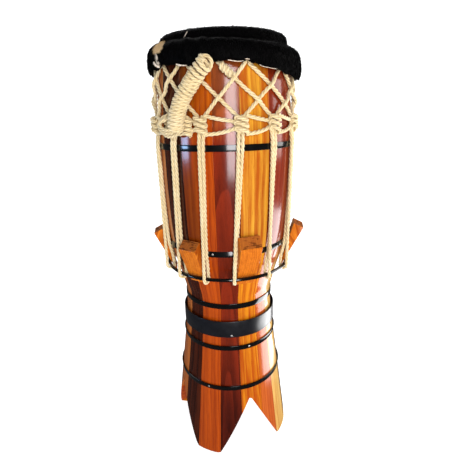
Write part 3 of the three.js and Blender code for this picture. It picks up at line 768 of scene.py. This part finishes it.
for i in range(len(KNOT_AZIMUTHS)):
    name = f"rope_loop_{i + 1:02d}"
    loop = settle(twist(name + "_twisted", [loop_route(i)]), "rope", name)
print("double ropes:", len(KNOT_AZIMUTHS), "of", len(loop.data.polygons), "faces")

# %% [markdown]
# ## The net
# From each peak under the collar one rope runs down to the left and one to the right, and each crosses
# two others on its way. A rope that passes over another is lifted off the shell there, so that the two
# lie on each other as real ropes do. At the knots the double rope is wrapped by slanting turns, and two
# cross ropes run on to the next knot.

# %% Net routes
LEG_FOOT, LEG_SPREAD, LEG_STEPS = 0.841, 2.0, 24
PEAK_DROP, PEAK_SPREAD, COLLAR_DIP = 0.062, 2.2, 0.008
CROSSINGS, CROSSING_LIFT, CROSSING_WIDTH = (1 / 3, 2 / 3), 0.0064, 0.13
KNOT_HALF_WIDTHS = [6, 6.5, 5.4, 5.8, 6, 5.6, 5.6, 6, 5.6, 5.6, 6, 5.6, 5.6, 6]
KNOT_SHIFTS = [0, -1] + [0] * 12
KNOT_TURNS, WRAPS_TALL, WRAPS_SLANT, WRAPS_DEPTH, WRAPS_RADIUS = 3, 0.030, 0.55, 0.0075, 0.165


def collar_sag(azimuth):
    """The collar sits lower at the right than at the left."""
    return -COLLAR_DIP * math.sin(math.radians(azimuth))


def counted(azimuths, number):
    """Entry of a round list, with full turns added past its ends."""
    turns = number // len(azimuths)
    return azimuths[number - turns * len(azimuths)] + 360 * turns


def leg(knot, peak, side, low_on_top):
    """One rope of the net from its knot up to its peak, lifted where it crosses over another."""
    foot_azimuth = counted(KNOT_AZIMUTHS, knot) + side * LEG_SPREAD
    peak_azimuth = counted(PEAK_AZIMUTHS, peak)
    top = HEAD_HEIGHT - PEAK_DROP + collar_sag(peak_azimuth)
    end_azimuth = peak_azimuth - side * PEAK_SPREAD
    lifts = (CROSSING_LIFT * low_on_top, CROSSING_LIFT if side > 0 else 0.0)
    points = []
    for k in range(LEG_STEPS + 1):
        share = k / LEG_STEPS
        z = LEG_FOOT + (top - LEG_FOOT) * share
        lift = max(height * math.exp(-((share - at) / CROSSING_WIDTH) ** 2)
                   for height, at in zip(lifts, CROSSINGS))
        points.append(around(foot_azimuth + (end_azimuth - foot_azimuth) * share, resting(z) + lift, z))
    return points


def peak_rope(number):
    """A whole rope of the net: up from one knot, over its peak, and down to another knot."""
    left = leg(number - 1, number, 1, (number % 2))
    right = leg(number + 2, number, -1, ((number + 1) % 2))
    azimuth = counted(PEAK_AZIMUTHS, number)
    top = HEAD_HEIGHT - PEAK_DROP + collar_sag(azimuth)
    over = [around(azimuth + side, resting(top) + 0.002, top + 0.0095 - 0.0025 * abs(side))
            for side in (-1.3, 0, 1.3)]
    return smoothed(left + over + right[::-1], 2)


def tie(knot, side):
    """One of the two cross ropes from a knot to the next one. They start apart and end together."""
    following = (knot + 1) % len(KNOT_AZIMUTHS)
    start = KNOT_AZIMUTHS[knot] + KNOT_SHIFTS[knot] + 0.55 * KNOT_HALF_WIDTHS[knot]
    end = counted(KNOT_AZIMUTHS, knot + 1) + KNOT_SHIFTS[following] - 0.55 * KNOT_HALF_WIDTHS[following]
    points = []
    for k in range(9):
        share = k / 8
        spread = 0.0175 * (1 - share) ** 0.8 + 0.0048 * share
        z = KNOT_HEIGHT - 0.001 + side * spread - 0.002 * math.sin(math.pi * share)
        points.append(around(start + (end - start) * share, resting(z) + 0.004 * (1 - share), z))
    return smoothed(points, 4)


def knot_wraps(azimuth, half_width):
    """Slanting turns of rope round a double rope, with both ends behind it."""
    radius = resting(KNOT_HEIGHT) + 0.005
    points = []
    steps = KNOT_TURNS * 20
    for k in range(steps + 1):
        share = k / steps
        angle = math.pi * (0.5 + 2 * KNOT_TURNS * share)
        squeeze = 1.0 - 0.18 * (2 * share - 1) ** 2
        across = math.cos(angle) * (half_width - ROPE_RADIUS) * squeeze
        out = -math.sin(angle) * WRAPS_DEPTH
        z = KNOT_HEIGHT + (share - 0.5) * WRAPS_TALL - WRAPS_SLANT * across * (1 if out > 0 else 0.6)
        points.append(around(azimuth + math.degrees(across / radius), max(radius + out, resting(z)), z))
    return points


net_lines = [peak_rope(n) for n in range(len(PEAK_AZIMUTHS))]
for i, (azimuth, half) in enumerate(zip(KNOT_AZIMUTHS, KNOT_HALF_WIDTHS)):
    net_lines += [tie(i, 1), tie(i, -1)]
    net_lines.append(knot_wraps(azimuth + KNOT_SHIFTS[i], math.radians(half) * WRAPS_RADIUS))

# %% [markdown]
# ## Spare rope
# The rope's long end is put away on the drum itself: wound in close turns round one leg of the net, from
# the hem down to a knot, with a loose loop and a small knot where it ends. A few turns also whip the leg
# to its right.

# %% Bundle and whipping
BUNDLE_RADIUS, BUNDLE_STANDOFF, BUNDLE_TURNS, BUNDLE_ROPE, BUNDLE_SLANT = 0.017, 0.004, 19, 0.0038, -0.10
# Points of the bundle's middle: azimuth, drop below the head, and how far it is lifted out.
BUNDLE_PATH = [(-8.2, 0.0640, 0.009), (-14.2, 0.0823, 0.005), (-19, 0.1008, 0.0), (-24, 0.120, 0.0),
               (-27, 0.1399, 0.0), (-29.1, 0.1605, 0.0), (-30.4, 0.180, 0.0)]
# Points of loose rope: azimuth, height, and how far it is lifted out.
END_LOOP = [(-39, 0.850, -0.010), (-44.5, 0.8425, 0.0), (-48.3, 0.834, 0.0), (-49.2, 0.8235, 0.0),
            (-46.6, 0.8145, 0.0), (-42.3, 0.8075, 0.0), (-37.7, 0.8055, 0.001), (-32.7, 0.809, 0.001),
            (-29.0, 0.8165, 0.0), (-28.0, 0.825, -0.004), (-27.5, 0.832, -0.010)]
LOOP_AZIMUTH, LOOP_HEIGHT = -38, 0.826
# Three nested turns of that loop: where each lies, its width and height as shares, and its distance out.
END_TURNS = [(-38, 0.826, 1.0, 1.0, 0.020), (-38, 0.826, 0.80, 0.70, 0.026),
             (-37, 0.828, 0.58, 0.48, 0.031)]
TOP_LOOP = [(-13.2, 0.9430, -0.002), (-11.4, 0.9460, 0.0), (-9.0, 0.9470, 0.001), (-6.6, 0.9432, 0.001),
            (-5.5, 0.9370, 0.0), (-5.8, 0.9300, -0.002), (-7.4, 0.9240, -0.004)]
BRAID_AZIMUTH, BRAID_HEIGHTS, BRAID_RADIUS = -24.8, (0.843, 0.834, 0.825, 0.816, 0.807), 0.0058
WHIPPED_KNOT, WHIPPING_SPAN, WHIPPING_RADIUS, WHIPPING_TURNS = 4, (0.78, 0.98), 0.0080, 4.5


def winding(path, radius, turns, wobble=0.0, slant=0.0):
    """Close turns of rope round a path of points."""
    steps = int(turns * 18)
    points = []
    for k in range(steps + 1):
        place = (len(path) - 1) * k / steps
        first = min(int(place), len(path) - 2)
        centre = path[first].lerp(path[first + 1], place - first)
        tangent = (path[first + 1] - path[first]).normalized()
        outward = Vector((centre.x, centre.y, 0.0)).normalized()
        outward = (outward - tangent * outward.dot(tangent)).normalized()
        sideways = tangent.cross(outward)
        angle = 2 * math.pi * turns * k / steps
        reach = radius * (1 + wobble * math.sin(angle * 0.37) + wobble * math.sin(angle * 1.13 + 1))
        across = reach * math.sin(angle)
        points.append(centre + reach * math.cos(angle) * outward + across * (sideways + slant * tangent))
    return points


def laid(points, out):
    """A smooth rope line through azimuths and heights, a given distance out from the shell."""
    return smoothed([around(azimuth, shell_radius(height) + out + more, height)
                     for azimuth, height, more in points], 6)


bundle_path = []
for azimuth, drop, out in BUNDLE_PATH:
    height = HEAD_HEIGHT - drop
    centre = shell_radius(height) + 2 * ROPE_RADIUS + BUNDLE_STANDOFF + BUNDLE_RADIUS + out
    bundle_path.append(around(azimuth, centre, height))
bundle_lines = [winding(smoothed(bundle_path, 12), BUNDLE_RADIUS - BUNDLE_ROPE, BUNDLE_TURNS, 0.035,
                        BUNDLE_SLANT)]
for azimuth, height, wide, tall, out in END_TURNS:
    one_turn = [(azimuth + (a - LOOP_AZIMUTH) * wide, height + (z - LOOP_HEIGHT) * tall, more)
                for a, z, more in END_LOOP]
    bundle_lines.append(laid(one_turn, out))
bundle_lines.append(laid(TOP_LOOP, 0.032))
braid_path = [around(BRAID_AZIMUTH, resting(z) + 0.007, z) for z in BRAID_HEIGHTS]
bundle_lines.append(winding(braid_path, BRAID_RADIUS, 4.6, 0.06, -0.4))

whipped = leg(WHIPPED_KNOT, WHIPPED_KNOT - 2, -1, 0)
low, high = (int(s * (len(whipped) - 1)) for s in WHIPPING_SPAN)
lift = WHIPPING_RADIUS - ROPE_RADIUS
raised = [p + Vector((p.x, p.y, 0)).normalized() * lift for p in whipped[low:high + 1]]
net_lines.append(winding(raised, WHIPPING_RADIUS - ROPE_RADIUS * 0.8, WHIPPING_TURNS))

net = settle(twist("rope_net_twisted", net_lines), "rope", "rope_net")
bundle = settle(twist("rope_bundle_twisted", bundle_lines, Radius=BUNDLE_ROPE), "rope", "rope_bundle")
print("net faces:", len(net.data.polygons), "bundle faces:", len(bundle.data.polygons))

# %% [markdown]
# ## The hide
# One hide with the hair on covers the head, runs down the side and is rolled back up over the hidden
# ring into a collar. The collar is gathered in uneven folds and its hem is ragged. The form is a turned
# outline whose points are moved by those folds. Short hair, combed outwards and down, breaks its edge.

# %% Hide outline
HIDE_THICKNESS, HIDE_FIT, HIDE_COLUMNS = 0.003, 0.0004, 384
COLLAR_TOP, COLLAR_RADIUS, COLLAR_ROLL, HEM_THICKNESS = 0.978, 0.167, 0.029, 0.005
COLLAR_SHIFT = 0.0025  # how much farther the collar reaches at the right, and less at the left
# Azimuths round the collar and how far the hem hangs below the head there.
HEM = [(-64, 0.065), (-53, 0.067), (-44, 0.060), (-30, 0.0625), (-22, 0.066), (-11, 0.052), (-3, 0.061),
       (5, 0.0605), (13.5, 0.062), (16.6, 0.0585), (20.5, 0.064), (28, 0.070), (40, 0.0735), (52, 0.081),
       (66, 0.084), (90, 0.082), (135, 0.078), (180, 0.072), (225, 0.069), (270, 0.068), (296, 0.065)]
NAP = 0.003  # how far the hair raises the head
DISHING = 0.0010  # how much lower the head is in its middle


def hem_height(azimuth):
    turn = (azimuth - HEM[0][0]) % 360 + HEM[0][0]
    for (a0, d0), (a1, d1) in zip(HEM, HEM[1:]):
        if turn <= a1:
            share = (turn - a0) / (a1 - a0)
            share = share * share * (3 - 2 * share)
            return HEAD_HEIGHT - d0 - (d1 - d0) * share
    return HEAD_HEIGHT - HEM[-1][1]


def collar_radius(azimuth):
    return COLLAR_RADIUS + COLLAR_SHIFT * math.sin(math.radians(azimuth))


def folds(azimuth, seed=0.0):
    """Uneven gathers round the collar, between -1 and 1."""
    a = math.radians(azimuth)
    wander = 0.8 * math.sin(3 * a + 1.3 + seed) + 0.5 * math.sin(5 * a + 0.4 + seed)
    sharp = 1 - 2 * abs(math.sin(14 * a + wander + seed)) ** 0.7
    return 0.55 * sharp + 0.30 * math.sin(23 * a + 2 * wander) + 0.15 * math.sin(41 * a + seed)


def hide_column(azimuth):
    """The hide's outline at one azimuth, inside first, from the axis out and back to the axis."""
    sag, fold, edge = collar_sag(azimuth), folds(azimuth), collar_radius(azimuth)
    hem = hem_height(azimuth) + 0.0022 * folds(azimuth, 2.0)
    ceiling = COLLAR_TOP - COLLAR_ROLL + sag
    lower = max(ceiling - 0.004, hem + 0.006)
    top = COLLAR_TOP + sag + 0.0035 * max(0.0, math.cos(math.radians(azimuth - 30)))
    edge_r = RIM_RADIUS - BEARING_EDGE
    under = BEARING_EDGE + HIDE_FIT
    over = under + HIDE_THICKNESS

    # The inside: over the rim, down the shell and out under the roll.
    rows = [(0.0, RIM_HEIGHT + 0.0006)]
    rows += [(edge_r + under * math.cos(a), RIM_EDGE + under * math.sin(a))
             for a in map(math.radians, (90, 67.5, 45, 22.5, 0))]
    rows += [(shell_radius(ceiling + 0.012) + 0.0016, ceiling + 0.012),
             (shell_radius(ceiling) + 0.0020, ceiling + 0.001)]
    # The collar: how far in from its radius, how strongly the folds move it, and its height.
    rows += [(edge - inset + share * fold, height) for inset, share, height in (
        (0.0180, 0.0, ceiling + 0.003), (0.0085, 0.0, ceiling),
        (HEM_THICKNESS, 0.0008, (hem + ceiling) / 2), (0.0042, 0.0012, hem + 0.0012),
        (0.0026, 0.0014, hem), (0.0008, 0.0016, hem + 0.0016),
        (-0.0012, 0.0019, (hem + lower) / 2), (-0.0016, 0.0018, lower), (-0.0008, 0.0016, lower + 0.010),
        (0.002, 0.0016, top - 0.012), (0.007, 0.0014, top - 0.0045 + 0.0006 * fold),
        (0.013, 0.0010, top - 0.0008 + 0.0010 * fold), (0.019, 0.0006, top + 0.0002 + 0.0012 * fold))]
    # The outside: the valley behind the roll, up over the rim and in to the axis.
    rows += [(0.1445, min(top - 0.0005, 0.9865)), (edge_r + over + 0.0002, max(RIM_EDGE, top + 0.002))]
    rows += [(edge_r + over * math.cos(a), HEAD_HEIGHT + NAP - over + over * math.sin(a))
             for a in map(math.radians, (15, 35, 55, 75, 90))]
    rows += [(edge_r * share, HEAD_HEIGHT + NAP - DISHING * (1 - share))
             for share in (0.8, 0.55, 0.3, 0.1, 0)]
    return rows


def hide_mesh():
    """All columns joined into one closed skin, with single points on the axis."""
    columns = [hide_column(360 * i / HIDE_COLUMNS) for i in range(HIDE_COLUMNS)]
    inner = len(columns[0]) - 2
    points = [around(360 * i / HIDE_COLUMNS, r, z)
              for i, rows in enumerate(columns) for r, z in rows[1:-1]]
    under, over = len(points), len(points) + 1
    points += [Vector((0, 0, columns[0][0][1])), Vector((0, 0, columns[0][-1][1]))]
    faces = []
    for i in range(HIDE_COLUMNS):
        here, there = i * inner, (i + 1) % HIDE_COLUMNS * inner
        faces.append((under, there, here))
        faces += [(here + k, there + k, there + k + 1, here + k + 1) for k in range(inner - 1)]
        faces.append((here + inner - 1, there + inner - 1, over))
    mesh = bpy.data.meshes.new("hide")
    mesh.from_pydata([tuple(p) for p in points], [], faces)
    mesh.polygons.foreach_set("use_smooth", [True] * len(mesh.polygons))
    return mesh


# %% [markdown]
# The hide is black, with a tan and white patch of hair at its left, a thin white mark on the head, and
# pale raw skin along parts of the hem. The patches are places on the hide, so they are masks made from
# distances to points in the drum's own coordinates, with noise to fray them.

# %% Hide finish
BLACK_HAIR, GREY_HAIR = (0.0005, 0.0005, 0.0005), (0.0030, 0.0028, 0.0030)
TAN_HAIR, WHITE_HAIR = (0.56, 0.40, 0.21), (0.62, 0.55, 0.45)
# Patches: their hair, their place, how much each axis counts, and the distances at which they begin to
# fade and are gone.
PATCHES = [(TAN_HAIR, (-51, 0.164, 0.976), (0.8, 0.8, 1.2), 0.014, 0.020),
           (WHITE_HAIR, (-52, 0.170, 0.966), (1.4, 1.4, 0.50), 0.004, 0.008),
           (WHITE_HAIR, (-50.5, 0.170, 0.953), (1.3, 1.3, 0.5), 0.004, 0.008),
           (WHITE_HAIR, (-48.8, 0.170, 0.943), (1.3, 1.3, 0.7), 0.004, 0.008)]


def hide_finish():
    material, tree = new_material("hair-on hide")
    spot = object_place(tree)
    fray = noise(tree, spot, 150.0, 3.0) - 0.5
    combed = noise(tree, vec("MULTIPLY", spot, (900.0, 900.0, 110.0)), 1.0, 3.0)
    colour = blend(ease(combed, 0.35, 0.75), BLACK_HAIR, GREY_HAIR)
    for hair_colour, place, stretch, inner, outer in PATCHES:
        away = vec("MULTIPLY", vec("SUBTRACT", spot, tuple(around(*place))), stretch)
        reach = fray * 0.012 + vec("LENGTH", away)
        colour = blend(ease(reach, outer, inner), colour, hair_colour)
    paint(tree, Base_Color=colour, Normal=relief(0.6, 0.0012, combed), Roughness=0.5,
          Specular_IOR_Level=0.02, Sheen_Weight=0.002, Sheen_Roughness=0.4)
    return material


HIDE = hide_finish()
hide_form = hide_mesh()
hide_form.materials.append(HIDE)
settle(add_object("hide_skin", hide_form), "hide", "hide_head")
print("hide:", len(hide_form.polygons), "faces")

# %% [markdown]
# Hair is what breaks the hide's outline. Real hair would be tens of thousands of strands, so each tuft
# here is one slim three-sided cone. The tree scatters them over the skin's outer faces with a fixed
# seed, and combs them outwards on the head and downwards on the collar.

# %% Hair
COMBING = (0.25, -0.15, -1.0)  # added to the way out from the axis
TOUSLING = 1.6


def hair_tree():
    tree, given = new_tree("Combed hair", Density=130000.0, Length=0.0062, Thick=0.00055, Stand=0.30,
                           Seed=4)
    px, py, _ = axes(wire(tree, "GeometryNodeInputPosition"))
    radial = vec("NORMALIZE", point(px, py))
    skin_normal = wire(tree, "GeometryNodeInputNormal")
    outward, upward = vec("DOT_PRODUCT", skin_normal, radial), axes(skin_normal)[2]
    outer = wire(tree, "FunctionNodeBooleanMath", calc("GREATER_THAN", outward, 0.15),
                 calc("GREATER_THAN", upward, 0.4), operation="OR")
    spread = wire(tree, "GeometryNodeDistributePointsOnFaces", given["Source"], outer, at={
        "Density": given["Density"], "Seed": given["Seed"]})
    normal = Value(spread.socket.node.outputs["Normal"])

    # The comb's way, tousled by noise, laid flat on the skin and then raised a little from it.
    wander = vec("SUBTRACT", noise(tree, None, 45.0, 2.0, out=1), (0.5, 0.5, 0.5))
    comb = vec("ADD", vec("ADD", radial, COMBING), vec("SCALE", wander, scale=TOUSLING))
    into = vec("SCALE", normal, scale=vec("DOT_PRODUCT", comb, normal))
    flat = vec("NORMALIZE", vec("SUBTRACT", comb, into))
    way = vec("ADD", flat, vec("SCALE", normal, scale=given["Stand"]))
    turned = wire(tree, "FunctionNodeAlignRotationToVector", at={"Vector": way}, axis="Z")
    cone = wire(tree, "GeometryNodeMeshCone", 3, at={
        "Radius Top": 0.0, "Radius Bottom": given["Thick"], "Depth": given["Length"]})
    size = wire(tree, "FunctionNodeRandomValue", at={2: 0.6, 3: 1.25, "Seed": given["Seed"]}, out=1)
    tufts = wire(tree, "GeometryNodeInstanceOnPoints", spread, at={
        "Instance": cone, "Rotation": turned, "Scale": size})
    return finish_tree(tufts, given)


hair = settle(grow("hide_hair", hair_tree(), HIDE, source=hide_form.copy()), "hide")
print("hair:", len(hair.data.polygons), "faces")

# %% [markdown]
# Along the hem the cut edge of the raw skin shows in places as thin pale slivers, and a few long white
# hairs lie on the head and at the patch. They are drawn with the rope's tree, with a smooth profile.

# %% Raw edge of the hide
# Slivers: from which azimuth to which, how thick, and how far below the hem.
SLIVERS = [((-31, -22.5), 0.0011, 0.0), ((-30, -26), 0.0009, 0.0014), ((4.5, 14), 0.0008, 0.0),
           ((15.2, 18.2), 0.0009, -0.0012), ((25, 39), 0.0005, 0.0)]
WHITE_HAIRS = [(0.0008, [(-27.2, 0.1366, 0.9975), (-29.3, 0.1384, 0.991), (-31.3, 0.1388, 0.985)]),
               (0.0021, [(-50.8, 0.172, 0.946), (-49.2, 0.1735, 0.942), (-47.6, 0.173, 0.939),
                         (-45.6, 0.170, 0.9365)])]


def raw_skin():
    material, tree = new_material("raw hide edge")
    cloud = noise(tree, object_place(tree), 320.0, 3.0)
    paint(tree, Base_Color=blend(ease(cloud, 0.35, 0.65), (0.80, 0.72, 0.60), (0.50, 0.38, 0.26)),
          Normal=relief(0.3, 0.0004, cloud), Roughness=0.6)
    return material


RAW_SKIN = raw_skin()
drawn = [(thick, [around(*place) for place in line]) for thick, line in WHITE_HAIRS]
for (start, end), thick, lower in SLIVERS:
    line = []
    for k in range(9):
        azimuth = start + (end - start) * k / 8
        bow = math.sin(math.pi * k / 8)
        line.append(around(azimuth, collar_radius(azimuth) + 0.0012 * bow,
                           hem_height(azimuth) + 0.0006 - lower - 0.0016 * bow))
    drawn.append((thick, line))
for i, (thick, line) in enumerate(drawn):
    settle(twist(f"raw_edge_{i + 1}", [smoothed(line, 4)], RAW_SKIN, Radius=thick, Groove=0.0, Sides=8,
                 Step=0.0012), "hide")
print("slivers of raw skin:", len(drawn))

# %% [markdown]
# ## Studio
# The photograph is lit from windows. One behind the camera puts a soft pale streak on the varnish, one
# at the right lights that side and its floor strongly, and a small bluish one stands at the left. The
# floor is a white sweep that glows a little, so that shadows on it stay faint. A white shell that only
# the camera sees closes the view on the other sides.


# %% Floor and backdrop
def glowing(name, base, glow):
    """A flat white that also gives off light of its own."""
    material, tree = new_material(name)
    paint(tree, Base_Color=(base, base, base, 1), Roughness=0.95, Specular_IOR_Level=0.0,
          Emission_Color=(1, 1, 1, 1), Emission_Strength=glow)
    return material


def make_floor():
    outline = [(-4.0, 0.0), (1.6, 0.0)]
    outline += [(1.6 + math.sin(a), 1.0 - math.cos(a))
                for a in (math.radians(9 * k) for k in range(1, 11))]
    outline.append((2.6, 4.5))
    points = [(x, y, z) for y, z in outline for x in (-5.0, 5.0)]
    faces = [(2 * k, 2 * k + 1, 2 * k + 3, 2 * k + 2) for k in range(len(outline) - 1)]
    mesh = bpy.data.meshes.new("floor")
    mesh.from_pydata(points, [], faces)
    mesh.polygons.foreach_set("use_smooth", [True] * len(mesh.polygons))
    mesh.materials.append(glowing("white sweep", 0.50, 0.85))
    floor = add_object("floor", mesh)
    floor.visible_glossy = False


def make_backdrop(radius):
    """A white shell round the whole studio. Only the camera sees it, so it lights nothing."""
    form = bmesh.new()
    bmesh.ops.create_uvsphere(form, u_segments=48, v_segments=24, radius=radius)
    bmesh.ops.reverse_faces(form, faces=form.faces)
    mesh = bpy.data.meshes.new("backdrop")
    form.to_mesh(mesh)
    form.free()
    mesh.materials.append(glowing("white backdrop", 0.0, 1.0))
    backdrop = add_object("backdrop", mesh)
    backdrop.visible_diffuse = backdrop.visible_glossy = backdrop.visible_transmission = False
    backdrop.visible_shadow = backdrop.visible_volume_scatter = False


make_floor()
make_backdrop(6.5)

# %% Lights
# Name, azimuth, distance and height, the point it faces, width and height, brightness and colour.
LIGHTS = [("front window", 12, 2.5, 1.1, (0, 0, 0.75), (0.75, 1.8), 15.5, (1.0, 0.97, 1.0)),
          ("right window", 99, 2.2, 1.3, (0, 0, 0.6), (0.9, 1.7), 5, (1.0, 0.98, 0.95)),
          ("left window", -66, 2.5, 0.66, (0, 0, 0.7), (0.45, 0.36), 24, (0.38, 0.62, 1.0)),
          ("right floor light", 102, 1.02, 0.03, (0.25, 0.05, 1.0), (0.75, 0.75), 8.5, (1, 1, 1)),
          ("sweep light", 180, 1.6, 2.8, (0, 2.2, 0.4), (3.2, 1.2), 6, (1, 1, 1))]
WORLD_LIGHT = 0.07


def area_light(name, azimuth, distance, height, target, size, radiance, colour):
    """A soft rectangle of light with a brightness that doesn't change with its size."""
    data = bpy.data.lights.new(name, "AREA")
    data.shape, data.size, data.size_y = "RECTANGLE", *size
    data.energy, data.color = radiance * math.pi * size[0] * size[1], colour
    light = add_object(name, data)
    light.location = around(azimuth, distance, height)
    light.rotation_euler = (Vector(target) - light.location).to_track_quat("-Z", "Y").to_euler()


for light in LIGHTS:
    area_light(*light)
world = bpy.data.worlds.new("white room")
world.use_nodes = True
background = world.node_tree.nodes["Background"]
background.inputs["Color"].default_value = (1, 1, 1, 1)
background.inputs["Strength"].default_value = WORLD_LIGHT
bpy.context.scene.world = world
bpy.context.scene.view_settings.view_transform = "Standard"
